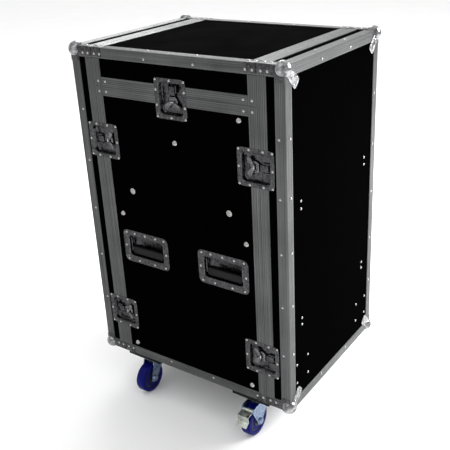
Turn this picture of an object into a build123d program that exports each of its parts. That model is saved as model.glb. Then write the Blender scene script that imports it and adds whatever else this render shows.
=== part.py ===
from build123d import *

import math
import os
from itertools import product

# Tall 19-inch equipment rack flight case on four swivel castors.
# Units are millimetres. X runs across the 19-inch width, the front lid faces -Y, +Z is up,
# and the origin is on the floor under the middle of the case.

os.makedirs("parts", exist_ok=True)

# Outside of the box, over its edge extrusions
case_width = 533.0
case_depth = 706.0
case_height = 1000.0
caster_height = 147.0
lid_depth = 80.0
top_lid_drop = 108.5

# Boards and extrusions
ply = 9.0
skin = 1.8
edge_leg = 30.0
edge_round = 3.0
rim_width = 26.5
rim_web = 6.7
half_seam = 0.3
fit_gap = 0.2
tongue_length = 4.0
tongue_width = 3.0
tongue_low_gap = 2.0
tongue_high_gap = 26.0
groove_depth = 4.7
groove_width = 4.0
groove_high_gap = 20.0

# How far a cut runs past the face that it opens, and right through a board
overcut = 1.0
through = (-25.0, 5.0)

# Recessed butterfly latches, measured across the seam towards the lid, and along it
latch_body_reach = 67.0
latch_lid_reach = 45.0
latch_half_length = 53.0
latch_rim = 12.0
latch_flange = 2.4
latch_corner = 11.0
recess_depth = 12.0
dish_sheet = 1.2
dish_gap = 0.5
rotor_offset = 20.0
rotor_radius = 13.0
rotor_top = 6.3
rotor_lift = 0.3
rotor_bore_top = 7.5
post_radius = 4.0
post_top = 7.8
ear_half_length = 3.0
ear_span = (5.2, 8.0)
ear_top = 0.8
claw_gap = 0.4
claw_half_width = 9.0
claw_top = 5.6
claw_sheet = 2.4
claw_reach = 22.0
lip_span = (14.0, 17.0)
lip_half_width = 12.0
lip_top = 8.5
wing_axis_depth = 3.4
wing_pin_radius = 1.5
wing_knuckle_radius = 2.3
wing_knuckle_half = 4.9
wing_neck = 7.0
wing_root = 5.0
wing_half_span = 26.0
wing_reach = 20.0
wing_corner = 6.0
wing_sheet = 2.0
wing_notch_radius = 8.0
wing_notch_offset = 3.0
bearing_gap = 0.05
lid_latch_heights = {"upper": 730.0, "lower": 153.0}

# Recessed bail handles
handle_width = 172.0
handle_height = 106.0
handle_corner = 16.0
handle_recess_width = 134.0
handle_recess_height = 66.0
handle_recess_corner = 4.0
handle_depth = 15.0
handle_offset = 141.0
handle_level = 402.0
bail_axis_height = 20.0
bail_axis_depth = 8.0
bail_pin_radius = 3.0
bail_arm_inner = 60.0
bail_arm_sheet = 3.0
bail_arm_half = 5.0
grip_thickness = 10.0
grip_height = 24.0
grip_corner = 4.9
grip_centre = -15.0
grip_sink = 0.5

# Corners and braces
ball_radius = 22.0
ball_inset = 11.0
leaf_reach = 47.0
leaf_length = 62.0
leaf_width = 34.0
leaf_corner = 12.0
leg_width = 27.0
leg_length = 42.0
plate_sheet = 1.5
brace_leg = 26.0
brace_length = 34.0
brace_gap = 1.0

# Rack rails
rack_unit = 44.45
rack_unit_holes = (6.35, 22.225, 38.1)
rack_hole_spacing = 465.1
rack_hole_radius = 3.0
rail_units = 11
rail_leg = 31.0
rail_depth = 24.0
rail_sheet = 2.0
rail_standoff = 5.0
rail_lip = 8.0
rail_hole_cut = 5.0
spacer_radius = 7.5
rail_offset = 222.0
rail_bolt_levels = (45.0, 505.0)
mixer_bolt_high = (-214.0, 849.5)
mixer_bolt_low = (0.0, 758.0)
mixer_rail_units = 8
mixer_rail_start = 28.0
flat_rail_half = 12.0
shelf_level = 586.0
shelf_screw_offset = 171.5
shelf_overhang = 28.0
shelf_leg = 25.0
bolt_head_radius = 8.0
bolt_head_height = 5.0
bolt_shank_radius = 3.0
bolt_shank_entry = 0.5
bolt_hole_radius = 3.3
nut_radius = 5.5
nut_height = 5.0
cup_radius = 9.0
cup_height = 1.2
screw_head_radius = 6.0
screw_head_height = 2.6

# Castors
wheel_radius = 50.0
wheel_width = 32.0
tread_shoulder = 4.0
rim_depth = 14.0
web_inset = 5.0
web_slope = 3.0
hub_width = 37.0
hub_radius = 17.0
hub_slope = 2.0
axle_radius = 6.0
axle_boss_radius = 13.0
axle_nut_radius = 9.5
axle_nut_height = 6.0
swivel_trail = 39.0
caster_inset = 64.0
caster_offset = 208.0
pad_size = (110.0, 130.0, 17.8)
pad_notch_gap = 1.0
pad_notch_height = 2.0
plate_size = (105.0, 85.0, 2.5)
plate_corner = 8.0
plate_bolt_spacing = (80.0, 60.0)
plate_nut_radius = 6.0
plate_nut_height = 4.0
race_radius = 21.0
race_bottom = 118.0
crown_top = 117.0
crown_bottom = 108.0
crown_radius = 28.0
crown_back = 24.0
crown_front = 34.0
crown_sheet_top = 112.0
kingpin_radius = 6.0
kingpin_drop = 4.0
kingpin_head_radius = 9.0
kingpin_head = (4.5, 0.3)
fork_sheet = 3.0
fork_inner = 19.3
cheek_foot = [(52.0, 52.0), (28.0, 42.0)]
pedal_pin = (68.0, 100.0)
pedal_bracket = [(58.0, 112.0), (74.0, 106.0), (74.0, 94.0)]
pedal_steps = [(98.0, 97.0), (96.0, 78.0), (112.0, 68.0)]
pedal_pin_radius = 3.0
pedal_pin_overhang = 1.5
pedal_knuckle_radius = 6.0
pedal_half_width = 18.9
pedal_sheet = 3.0

# Planes of the case, worked out from the sizes above
half_width = case_width / 2
half_depth = case_depth / 2
floor_z = caster_height
roof_z = caster_height + case_height
board_face = half_width - skin
board_back = board_face - ply
seam_y = half_depth - lid_depth
top_seam_z = roof_z - top_lid_drop
board_low = floor_z + skin
board_high = roof_z - skin
tongue_mid = board_face - ply / 2
sides = {"left": -1, "right": 1}
ends = {"front": -1, "rear": 1}


def slab(x_span, y_span, z_span, mode=Mode.ADD):
    """Add or cut a box between three pairs of limits."""
    spans = (x_span, y_span, z_span)
    middle = tuple((low + high) / 2 for low, high in spans)
    size = tuple(abs(high - low) for low, high in spans)
    with Locations(middle):
        Box(*size, mode=mode)


def plate(plane, s_span, t_span, depths, corner=0.0, mode=Mode.ADD):
    """Add or cut a flat rectangle that lies in a plane, between two depths."""
    with BuildSketch(plane.offset(depths[0])) as outline:
        with Locations(((s_span[0] + s_span[1]) / 2, (t_span[0] + t_span[1]) / 2)):
            if corner:
                RectangleRounded(abs(s_span[1] - s_span[0]), abs(t_span[1] - t_span[0]), corner)
            else:
                Rectangle(abs(s_span[1] - s_span[0]), abs(t_span[1] - t_span[0]))
    extrude(outline.sketch, amount=depths[1] - depths[0], mode=mode)


def disc(plane, centre, radius, depths, mode=Mode.ADD):
    """Add or cut a round disc in a plane, between two depths."""
    with BuildSketch(plane.offset(depths[0])) as outline:
        with Locations(centre):
            Circle(radius)
    extrude(outline.sketch, amount=depths[1] - depths[0], mode=mode)


def save(builder, name):
    """Label a finished piece and write it."""
    builder.part.label = name
    export_step(builder.part, f"parts/{name}.step")


def face_plane(side, y, z):
    """The plane of a side board's outer face, with +Y across it and its normal outwards."""
    return Plane(origin=(side * board_face, y, z), x_dir=(0, 1, 0), z_dir=(side, 0, 0))


def latch_plane(side, place):
    """A latch's plane: origin on the seam, x towards the lid, z outwards."""
    if place == "top":
        return Plane(origin=(side * board_face, 0, top_seam_z), x_dir=(0, 0, 1), z_dir=(side, 0, 0))
    end, level = place.split("_")
    origin = (side * board_face, ends[end] * seam_y, floor_z + lid_latch_heights[level])
    return Plane(origin=origin, x_dir=(0, ends[end], 0), z_dir=(side, 0, 0))


lid_places = {end: [f"{end}_{level}" for level in lid_latch_heights] for end in ends}
latch_places = lid_places["front"] + lid_places["rear"] + ["top"]
latches = {f"{name}_{place}": latch_plane(side, place)
           for name, side in sides.items() for place in latch_places}
recess_body = latch_body_reach - latch_rim
recess_lid = latch_lid_reach - latch_rim
recess_half = latch_half_length - latch_rim


def cut_latches(places, footprint):
    """Cut the latch recesses, and where asked the seats of their flanges."""
    wall = dish_sheet + fit_gap
    for side, place in product(sides.values(), places):
        plane = latch_plane(side, place)
        span = (-recess_body - wall, recess_lid + wall)
        plate(plane, span, (-recess_half - wall, recess_half + wall), through, 0, Mode.SUBTRACT)
        if footprint:
            seat = (-latch_body_reach - fit_gap, latch_lid_reach + fit_gap)
            half = latch_half_length + fit_gap
            plate(plane, seat, (-half, half), (0, through[1]), latch_corner, Mode.SUBTRACT)


handle_planes = {f"{side}_{end}": face_plane(sides[side], ends[end] * handle_offset, floor_z + handle_level)
                 for side, end in product(sides, ends)}
rail_bolt_points = [(ends[end] * rail_offset, level) for end in ends for level in rail_bolt_levels]
bolt_points = rail_bolt_points + [mixer_bolt_high, mixer_bolt_low]
screw_points = [(end * shelf_screw_offset, shelf_level) for end in ends.values()]


# Middle body: two side boards and a base board of laminated birch ply
def side_panel(name):
    """One side board, cut for its latches and handles and drilled for its bolts."""
    side = sides[name]
    with BuildPart() as panel:
        edge = seam_y - half_seam - rim_web - fit_gap
        top = top_seam_z - half_seam - rim_web - fit_gap
        slab((side * board_back, side * board_face), (-edge, edge), (board_low, top))
        cut_latches(latch_places, False)
        wall = dish_sheet + fit_gap
        for key, plane in handle_planes.items():
            if key.startswith(name):
                half_s = handle_recess_width / 2 + wall
                half_t = handle_recess_height / 2 + wall
                corner = handle_recess_corner + overcut
                plate(plane, (-half_s, half_s), (-half_t, half_t), through, corner, Mode.SUBTRACT)
        for y, level in bolt_points + screw_points:
            disc(face_plane(side, y, floor_z + level), (0, 0), bolt_hole_radius, through, Mode.SUBTRACT)
    save(panel, f"{name}_side_panel")


for side_name in sides:
    side_panel(side_name)

with BuildPart() as base_panel:
    base_edge = seam_y - half_seam - rim_web - fit_gap
    base_half = board_back - fit_gap
    slab((-base_half, base_half), (-base_edge, base_edge), (board_low, board_low + ply))
save(base_panel, "base_panel")


def edge_angle_y(side, y_span, top):
    """An edge extrusion along Y at one side, along the roof or along the floor edge."""
    outer_z = roof_z if top else floor_z
    inward = -1 if top else 1
    with BuildSketch(Plane.XZ.offset(-y_span[0])) as profile:
        with BuildLine():
            Polyline(
                (side * half_width, outer_z),
                (side * half_width, outer_z + inward * edge_leg),
                (side * (half_width - skin), outer_z + inward * edge_leg),
                (side * (half_width - skin), outer_z + inward * skin),
                (side * (half_width - edge_leg), outer_z + inward * skin),
                (side * (half_width - edge_leg), outer_z),
                close=True)
        make_face()
        corner = profile.vertices().sort_by_distance((side * half_width, y_span[0], outer_z))[0]
        fillet(corner, edge_round / 2)
    extrude(profile.sketch, amount=-(y_span[1] - y_span[0]))


# Body extrusions: rims round the open ends and over the side boards, and the lower edges
with BuildPart() as body_extrusions:
    near = seam_y - half_seam
    body_top = top_seam_z - half_seam
    for side, end in product(sides.values(), ends.values()):
        flange_y = (end * (near - rim_width), end * near)
        web_y = (end * (near - rim_web), end * near)
        slab((side * board_face, side * half_width), flange_y, (floor_z + edge_leg + fit_gap, body_top))
        slab((side * board_back, side * board_face), web_y, (board_low, body_top))
        groove_y = (end * (near - groove_depth), end * (near + overcut))
        groove_x = (side * (tongue_mid - groove_width / 2), side * (tongue_mid + groove_width / 2))
        slab(groove_x, groove_y, (board_low - overcut, body_top + overcut), Mode.SUBTRACT)
    run = near - rim_width - fit_gap
    web_run = near - rim_web - fit_gap
    for side in sides.values():
        slab((side * board_face, side * half_width), (-run, run), (body_top - rim_width, body_top))
        slab((side * board_back, side * board_face), (-web_run, web_run), (body_top - rim_web, body_top))
        tongue_x = (side * (tongue_mid - tongue_width / 2), side * (tongue_mid + tongue_width / 2))
        slab(tongue_x, (-run, run), (body_top, body_top + tongue_length))
        edge_angle_y(side, (-near, near), False)
    for end in ends.values():
        half_run = half_width - edge_leg - fit_gap
        slab((-half_run, half_run), (end * (near - rim_width), end * near), (floor_z, board_low))
        web_x = (-board_back + fit_gap, board_back - fit_gap)
        slab(web_x, (end * (near - rim_web), end * near), (board_low, board_low + ply))
        groove_z = (board_low + ply / 2 - groove_width / 2, board_low + ply / 2 + groove_width / 2)
        groove_y = (end * (near - groove_depth), end * (near + overcut))
        slab((-board_back, board_back), groove_y, groove_z, Mode.SUBTRACT)
    cut_latches(latch_places, True)
save(body_extrusions, "body_extrusions")


def brace(side, outer_z, y_span):
    """A pressed angle over an edge beside the seam."""
    inward = -1 if outer_z > case_height / 2 else 1
    x_out = side * (half_width + plate_sheet)
    slab((side * half_width, x_out), y_span, (outer_z - inward * plate_sheet, outer_z + inward * brace_leg))
    slab((side * (half_width - brace_leg), x_out), y_span, (outer_z - inward * plate_sheet, outer_z))


with BuildPart() as body_corner_braces:
    for side, end in product(sides.values(), ends.values()):
        brace(side, floor_z, (end * (seam_y - brace_gap - brace_length), end * (seam_y - brace_gap)))
save(body_corner_braces, "body_corner_braces")


# Rack rails: steel angles with round holes at the rack spacing, bolted to the side boards
def rack_rails(end):
    """A pair of upright rails, their drilled legs facing out of the open end."""
    rail_middle = floor_z + sum(rail_bolt_levels) / 2
    low = rail_middle - rail_units * rack_unit / 2
    high = rail_middle + rail_units * rack_unit / 2
    face_y = end * (rail_offset + rail_depth / 2)
    inner = rack_hole_spacing / 2 - rail_lip
    with BuildPart() as rails:
        for side in sides.values():
            wall_x = side * (board_back - rail_standoff)
            slab((wall_x, wall_x - side * rail_sheet), (face_y, face_y - end * rail_depth), (low, high))
            slab((wall_x, side * inner), (face_y, face_y - end * rail_sheet), (low, high))
            for level in rail_bolt_levels:
                bolt = Plane(origin=(wall_x, end * rail_offset, floor_z + level), z_dir=(side, 0, 0))
                disc(bolt, (0, 0), bolt_hole_radius, (-rail_hole_cut, rail_hole_cut), Mode.SUBTRACT)
        with BuildSketch(Plane.XZ.offset(-face_y - rail_hole_cut)) as holes:
            spots = [(side * rack_hole_spacing / 2, low + unit * rack_unit + hole)
                     for side in sides.values() for unit in range(rail_units) for hole in rack_unit_holes]
            with Locations(*spots):
                Circle(rack_hole_radius)
        extrude(holes.sketch, amount=2 * rail_hole_cut, mode=Mode.SUBTRACT)
    return rails


for end_name, end in ends.items():
    save(rack_rails(end), f"{end_name}_rack_rails")

# Sloping mixer rails at the top of the body, on the two upper bolts of each side
slope = math.atan2(mixer_bolt_high[1] - mixer_bolt_low[1], mixer_bolt_low[0] - mixer_bolt_high[0])
along = (0, math.cos(slope), -math.sin(slope))
with BuildPart() as mixer_rails:
    rail_run = (-mixer_rail_start, mixer_rail_units * rack_unit - mixer_rail_start)
    bolt_distance = math.dist(mixer_bolt_high, mixer_bolt_low)
    for side in sides.values():
        origin = (side * (board_back - rail_standoff), mixer_bolt_high[0], floor_z + mixer_bolt_high[1])
        rail = Plane(origin=origin, x_dir=along, z_dir=(side, 0, 0))
        up = -1 if side > 0 else 1
        leg = board_back - rail_standoff - rack_hole_spacing / 2 + rail_lip
        plate(rail, rail_run, (-flat_rail_half, flat_rail_half), (-rail_sheet, 0))
        plate(rail, rail_run, (-up * flat_rail_half, up * (rail_sheet - flat_rail_half)), (-leg, 0))
        for distance in (0, bolt_distance):
            disc(rail, (distance, 0), bolt_hole_radius, (-rail_hole_cut, rail_hole_cut), Mode.SUBTRACT)
save(mixer_rails, "mixer_rails")

# Level shelf rails between the rack bay and the mixer bay, on the countersunk cup screws
with BuildPart() as shelf_rails:
    shelf_z = floor_z + shelf_level
    shelf_low = shelf_z - flat_rail_half
    reach = shelf_screw_offset + shelf_overhang
    for side in sides.values():
        wall_x = side * (board_back - rail_standoff)
        slab((wall_x, wall_x - side * rail_sheet), (-reach, reach), (shelf_low, shelf_z + flat_rail_half))
        slab((wall_x, wall_x - side * shelf_leg), (-reach, reach), (shelf_low, shelf_low + rail_sheet))
        for y, level in screw_points:
            hole = Plane(origin=(wall_x, y, floor_z + level), z_dir=(side, 0, 0))
            disc(hole, (0, 0), bolt_hole_radius, (-rail_hole_cut, rail_hole_cut), Mode.SUBTRACT)
save(shelf_rails, "shelf_rails")


def dome(plane, radius, height):
    """A shallow round bolt head standing on a plane."""
    ball = (radius ** 2 + height ** 2) / (2 * height)
    with Locations(plane):
        Sphere(ball, arc_size1=math.degrees(math.asin(1 - height / ball)),
               align=(Align.CENTER, Align.CENTER, Align.MIN))


# Dome-headed rail bolts and cup-washer screws with their nuts
with BuildPart() as rail_bolts:
    nut_face = -ply - rail_standoff - rail_sheet
    for side in sides.values():
        for y, level in bolt_points:
            bolt = face_plane(side, y, floor_z + level)
            dome(bolt, bolt_head_radius, bolt_head_height)
            disc(bolt, (0, 0), bolt_shank_radius, (nut_face - nut_height, bolt_shank_entry))
            disc(bolt, (0, 0), nut_radius, (nut_face - nut_height, nut_face))
            disc(bolt, (0, 0), spacer_radius, (-ply - rail_standoff, -ply))
        for y, level in screw_points:
            screw = face_plane(side, y, floor_z + level)
            disc(screw, (0, 0), cup_radius, (0, cup_height))
            dome(screw.offset(cup_height), screw_head_radius, screw_head_height)
            disc(screw, (0, 0), bolt_shank_radius, (nut_face - nut_height, bolt_shank_entry))
            disc(screw, (0, 0), nut_radius, (nut_face - nut_height, nut_face))
            disc(screw, (0, 0), spacer_radius, (-ply - rail_standoff, -ply))
save(rail_bolts, "rail_bolts")


def half_dish(plane, towards_lid):
    """One pressed half of a latch dish, open at the seam."""
    outer = latch_lid_reach if towards_lid else -latch_body_reach
    inner = recess_lid if towards_lid else -recess_body
    start = dish_gap if towards_lid else -dish_gap
    wall = dish_sheet if towards_lid else -dish_sheet
    half = recess_half
    span = (-latch_half_length, latch_half_length)
    plate(plane, (outer, -outer), span, (0, latch_flange), latch_corner)
    plate(plane, (start, -2 * outer), span, (-overcut, latch_flange + overcut), 0, Mode.SUBTRACT)
    plate(plane, (inner + wall, start), (-half - dish_sheet, half + dish_sheet),
          (-recess_depth - dish_sheet, 0))
    plate(plane, (inner, 0), (-half, half), (-recess_depth, latch_flange + overcut), 0, Mode.SUBTRACT)


# Latch dishes: the body half of each latch, with its pivot post and draw claw
with BuildPart() as latch_dishes:
    for plane in latches.values():
        half_dish(plane, False)
        disc(plane, (-rotor_offset, 0), post_radius, (-recess_depth, -post_top))
        claw_back = -rotor_offset + rotor_radius + claw_gap
        claw_span = (-claw_half_width, claw_half_width)
        plate(plane, (claw_back, -2 * dish_gap), claw_span, (-recess_depth, -claw_top))
        plate(plane, (claw_back, claw_reach), claw_span, (-claw_top - claw_sheet, -claw_top))
save(latch_dishes, "latch_dishes")


def keepers(places, name):
    """The lid halves of some latches, each with the lip that its claw reaches over."""
    with BuildPart() as dishes:
        planes = [latch_plane(side, place) for side in sides.values() for place in places]
        for plane in planes:
            half_dish(plane, True)
            plate(plane, lip_span, (-lip_half_width, lip_half_width), (-recess_depth, -lip_top))
    save(dishes, name)


for end_name in ends:
    keepers(lid_places[end_name], f"{end_name}_lid_keepers")
keepers(["top"], "top_lid_keepers")


# Latch rotors and the butterfly wings hinged on them
def latch_rotor(plane, name):
    """The cam disc of one latch, with the two ears that carry the wing's pin."""
    with BuildPart() as rotor:
        centre = (-rotor_offset, 0)
        disc(plane, centre, rotor_radius, (-recess_depth + rotor_lift, -rotor_top))
        disc(plane, centre, post_radius + bearing_gap, (-recess_depth, -rotor_bore_top), Mode.SUBTRACT)
        ear_length = (-rotor_offset - ear_half_length, -rotor_offset + ear_half_length)
        for ear in (-1, 1):
            plate(plane, ear_length, (ear * ear_span[0], ear * ear_span[1]), (-rotor_top, -ear_top))
        pin_line = Plane(origin=plane.from_local_coords((-rotor_offset, 0, -wing_axis_depth)),
                         z_dir=plane.y_dir)
        disc(pin_line, (0, 0), wing_pin_radius + bearing_gap, (-rotor_radius, rotor_radius), Mode.SUBTRACT)
    save(rotor, name)


def latch_wing(plane, name):
    """The folding butterfly wing of one latch with its hinge pin."""
    with BuildPart() as wing:
        pin_line = Plane(origin=plane.from_local_coords((-rotor_offset, 0, -wing_axis_depth)),
                         z_dir=plane.y_dir)
        knuckle_span = (-wing_knuckle_half, wing_knuckle_half)
        disc(pin_line, (0, 0), wing_knuckle_radius, knuckle_span)
        disc(pin_line, (0, 0), wing_pin_radius, (-ear_span[1], ear_span[1]))
        depths = (-wing_axis_depth - wing_sheet / 2, -wing_axis_depth + wing_sheet / 2)
        plate(plane, (-rotor_offset - wing_neck, -rotor_offset), knuckle_span, depths)
        blade = (-rotor_offset - wing_reach, -rotor_offset - wing_root)
        plate(plane, blade, (-wing_half_span, wing_half_span), depths, wing_corner)
        notch = (blade[0] - wing_notch_offset, 0)
        disc(plane, notch, wing_notch_radius, (-recess_depth, latch_flange), Mode.SUBTRACT)
    save(wing, name)


for latch_name, plane in latches.items():
    latch_rotor(plane, f"latch_rotor_{latch_name}")
    latch_wing(plane, f"latch_wing_{latch_name}")

# Handle dishes, two on each side board
with BuildPart() as handle_dishes:
    half_s = handle_recess_width / 2
    half_t = handle_recess_height / 2
    for plane in handle_planes.values():
        plate(plane, (-handle_width / 2, handle_width / 2), (-handle_height / 2, handle_height / 2),
              (0, latch_flange), handle_corner)
        wall_s = half_s + dish_sheet
        wall_t = half_t + dish_sheet
        plate(plane, (-wall_s, wall_s), (-wall_t, wall_t), (-handle_depth - dish_sheet, 0),
              handle_recess_corner + overcut)
        plate(plane, (-half_s, half_s), (-half_t, half_t), (-handle_depth, latch_flange + overcut),
              handle_recess_corner, Mode.SUBTRACT)
        rise = bail_axis_height * plane.y_dir.Z
        pin_line = Plane(origin=plane.from_local_coords((0, rise, -bail_axis_depth)), z_dir=(0, 1, 0))
        disc(pin_line, (0, 0), bail_pin_radius + bearing_gap, (-wall_s - overcut, wall_s + overcut),
             Mode.SUBTRACT)
save(handle_dishes, "handle_dishes")


def handle_bail(plane, name):
    """A swinging bail: two arms on pivot pins with a flat padded grip between them."""
    up = plane.y_dir.Z
    with BuildPart() as bail:
        pin_line = Plane(origin=plane.from_local_coords((0, up * bail_axis_height, -bail_axis_depth)),
                         z_dir=(0, 1, 0))
        arm_outer = bail_arm_inner + bail_arm_sheet
        for arm in (-1, 1):
            disc(pin_line, (0, 0), bail_pin_radius, (arm * bail_arm_inner, arm * (half_s + dish_sheet)))
            disc(pin_line, (0, 0), bail_arm_half, (arm * bail_arm_inner, arm * arm_outer))
            plate(plane, (arm * bail_arm_inner, arm * arm_outer), (up * grip_centre, up * bail_axis_height),
                  (-bail_axis_depth - bail_arm_half, -bail_axis_depth + bail_arm_half))
        with BuildSketch(Plane.XZ.offset(-plane.origin.Y + arm_outer)) as section:
            middle = plane.from_local_coords((0, up * grip_centre, -bail_axis_depth + grip_sink))
            with Locations((middle.X, middle.Z)):
                RectangleRounded(grip_thickness, grip_height, grip_corner)
        extrude(section.sketch, amount=-2 * arm_outer)
    save(bail, name)


for handle_name, plane in handle_planes.items():
    handle_bail(plane, f"handle_{handle_name}")


# Front and rear lids
def lid_boards(end, name):
    """A lid's face board and its four wall boards."""
    face = half_depth - skin
    wall_end = seam_y + half_seam + rim_web + fit_gap
    wall_start = face - ply - fit_gap
    with BuildPart() as boards:
        slab((-board_face, board_face), (end * face, end * (face - ply)), (board_low, board_high))
        for side in sides.values():
            slab((side * board_face, side * board_back), (end * wall_start, end * wall_end),
                 (board_low, board_high))
        across = board_back - fit_gap
        slab((-across, across), (end * wall_start, end * wall_end), (board_low, board_low + ply))
        slab((-across, across), (end * wall_start, end * wall_end), (board_high - ply, board_high))
        cut_latches(lid_places[name], False)
    save(boards, f"{name}_lid_boards")


def lid_extrusions(end, name):
    """The edge angles round a lid's face, its short lengthways edges and its tongued rim."""
    near = seam_y + half_seam
    with BuildPart() as metal:
        for side in sides.values():
            slab((side * board_face, side * half_width), (end * half_depth, end * (half_depth - edge_leg)),
                 (floor_z, roof_z))
            slab((side * half_width, side * (half_width - edge_leg)),
                 (end * half_depth, end * (half_depth - skin)), (floor_z, roof_z))
            y_span = sorted((end * near, end * (half_depth - edge_leg - fit_gap)))
            edge_angle_y(side, y_span, True)
            edge_angle_y(side, y_span, False)
            flange_y = (end * near, end * (near + rim_width))
            flange_z = (floor_z + edge_leg + fit_gap, roof_z - edge_leg - fit_gap)
            slab((side * board_face, side * half_width), flange_y, flange_z)
            slab((side * board_back, side * board_face), (end * near, end * (near + rim_web)),
                 (board_low, board_high))
            tongue_x = (side * (tongue_mid - tongue_width / 2), side * (tongue_mid + tongue_width / 2))
            slab(tongue_x, (end * near, end * (near - tongue_length)),
                 (board_low + tongue_low_gap, board_high - tongue_high_gap))
        run = half_width - edge_leg - fit_gap
        web_x = (-board_back + fit_gap, board_back - fit_gap)
        for outer_z, inward in ((roof_z, -1), (floor_z, 1)):
            slab((-run, run), (end * half_depth, end * (half_depth - skin)),
                 (outer_z, outer_z + inward * edge_leg))
            slab((-run, run), (end * half_depth, end * (half_depth - edge_leg)),
                 (outer_z, outer_z + inward * skin))
            slab((-run, run), (end * near, end * (near + rim_width)), (outer_z, outer_z + inward * skin))
            web_z = (outer_z + inward * skin, outer_z + inward * (skin + ply))
            slab(web_x, (end * near, end * (near + rim_web)), web_z)
        tongue_z = board_low + ply / 2
        slab((-run, run), (end * near, end * (near - tongue_length)),
             (tongue_z - tongue_width / 2, tongue_z + tongue_width / 2))
        long_edges = metal.edges().filter_by(Axis.Z).filter_by(
            lambda edge: math.isclose(edge.center().Y, end * half_depth)
            and math.isclose(abs(edge.center().X), half_width))
        fillet(long_edges, edge_round / 2)
        cut_latches(lid_places[name], True)
    save(metal, f"{name}_lid_extrusions")


def ball_corner(side, end, top):
    """A ball corner: a bulging cap, a leaf across the lid's face and a leg along its edge angle."""
    outer_z = roof_z if top else floor_z
    inward = -1 if top else 1
    centre_x = side * (half_width - ball_inset)
    centre_y = end * (half_depth - ball_inset)
    with Locations((centre_x, centre_y, outer_z + inward * ball_inset)):
        Sphere(ball_radius)
    away = Vector(-side, 0, inward).normalized()
    corner = Vector(side * half_width, end * half_depth, outer_z)
    leaf = Plane(origin=corner + away * leaf_reach, x_dir=away, z_dir=(0, end, 0))
    half_leaf = leaf_length / 2
    plate(leaf, (-half_leaf, half_leaf), (-leaf_width / 2, leaf_width / 2), (0, plate_sheet), leaf_corner)
    slab((side * half_width, side * (half_width + plate_sheet)),
         (end * half_depth, end * (half_depth - leg_width)), (outer_z, outer_z + inward * leg_length))


def lid_corners(end, name):
    """Four ball corners, each with a brace that runs back over the edge to the seam."""
    with BuildPart() as corners:
        for side, top in product(sides.values(), (False, True)):
            ball_corner(side, end, top)
        slab((-half_width, half_width), (-half_depth, half_depth), (floor_z, roof_z), Mode.SUBTRACT)
        for side, outer_z in product(sides.values(), (floor_z, roof_z)):
            brace(side, outer_z, (end * (seam_y + brace_gap), end * (half_depth - ball_inset)))
    save(corners, f"{name}_lid_corners")


for end_name, end in ends.items():
    lid_boards(end, end_name)
    lid_extrusions(end, end_name)
    lid_corners(end, end_name)

# Top lid: a roof board with two short side flaps
with BuildPart() as top_lid_boards:
    edge = seam_y - half_seam - rim_web - fit_gap
    flap_low = top_seam_z + half_seam + rim_web + fit_gap
    slab((-board_face, board_face), (-edge, edge), (board_high - ply, board_high))
    for side in sides.values():
        slab((side * board_back, side * board_face), (-edge, edge), (flap_low, board_high - ply - fit_gap))
    cut_latches(["top"], False)
save(top_lid_boards, "top_lid_boards")

with BuildPart() as top_lid_extrusions:
    near = seam_y - half_seam
    lid_low = top_seam_z + half_seam
    run = near - rim_width - fit_gap
    web_run = near - rim_web - fit_gap
    across = half_width - edge_leg - fit_gap
    for side, end in product(sides.values(), ends.values()):
        flange_y = (end * (near - rim_width), end * near)
        slab((side * board_face, side * half_width), flange_y, (lid_low, roof_z - edge_leg - fit_gap))
        slab((side * board_back, side * board_face), (end * (near - rim_web), end * near),
             (lid_low, board_high))
        groove_x = (side * (tongue_mid - groove_width / 2), side * (tongue_mid + groove_width / 2))
        slab(groove_x, (end * (near - groove_depth), end * (near + overcut)),
             (lid_low - overcut, board_high - groove_high_gap), Mode.SUBTRACT)
    for end in ends.values():
        slab((-across, across), (end * (near - rim_width), end * near), (board_high, roof_z))
        web_x = (-board_back + fit_gap, board_back - fit_gap)
        slab(web_x, (end * (near - rim_web), end * near), (board_high - ply, board_high))
    for side in sides.values():
        edge_angle_y(side, (-near, near), True)
        slab((side * board_face, side * half_width), (-run, run), (lid_low, lid_low + rim_width))
        slab((side * board_back, side * board_face), (-web_run, web_run), (lid_low, lid_low + rim_web))
        groove_x = (side * (tongue_mid - groove_width / 2), side * (tongue_mid + groove_width / 2))
        slab(groove_x, (-run - overcut, run + overcut), (lid_low - overcut, lid_low + groove_depth),
             Mode.SUBTRACT)
    cut_latches(["top"], True)
save(top_lid_extrusions, "top_lid_extrusions")

with BuildPart() as top_lid_braces:
    for side, end in product(sides.values(), ends.values()):
        brace(side, roof_z, (end * (seam_y - brace_gap - brace_length), end * (seam_y - brace_gap)))
save(top_lid_braces, "top_lid_braces")

# Castors: board pads, top plates with their races and kingpins, forks, wheels and brake pedals
caster_x = half_width - caster_inset
plate_top = caster_height - pad_size[2] - fit_gap
plate_bottom = plate_top - plate_size[2]
bolt_spots = [(x, y) for x in (-plate_bolt_spacing[0] / 2, plate_bolt_spacing[0] / 2)
              for y in (-plate_bolt_spacing[1] / 2, plate_bolt_spacing[1] / 2)]
caster_spots = [(side * caster_x, end * caster_offset) for side in sides.values() for end in ends.values()]

with BuildPart() as caster_pads:
    with Locations(*[(x, y, caster_height - pad_size[2] / 2 - fit_gap / 2) for x, y in caster_spots]):
        Box(*pad_size)
    for side, end in product(sides.values(), ends.values()):
        notch_y = (end * (seam_y - brace_gap - brace_length - pad_notch_gap), end * seam_y)
        slab((side * (half_width - brace_leg - pad_notch_gap), side * half_width), notch_y,
             (caster_height - pad_notch_height, caster_height), Mode.SUBTRACT)
save(caster_pads, "caster_pads")

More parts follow.
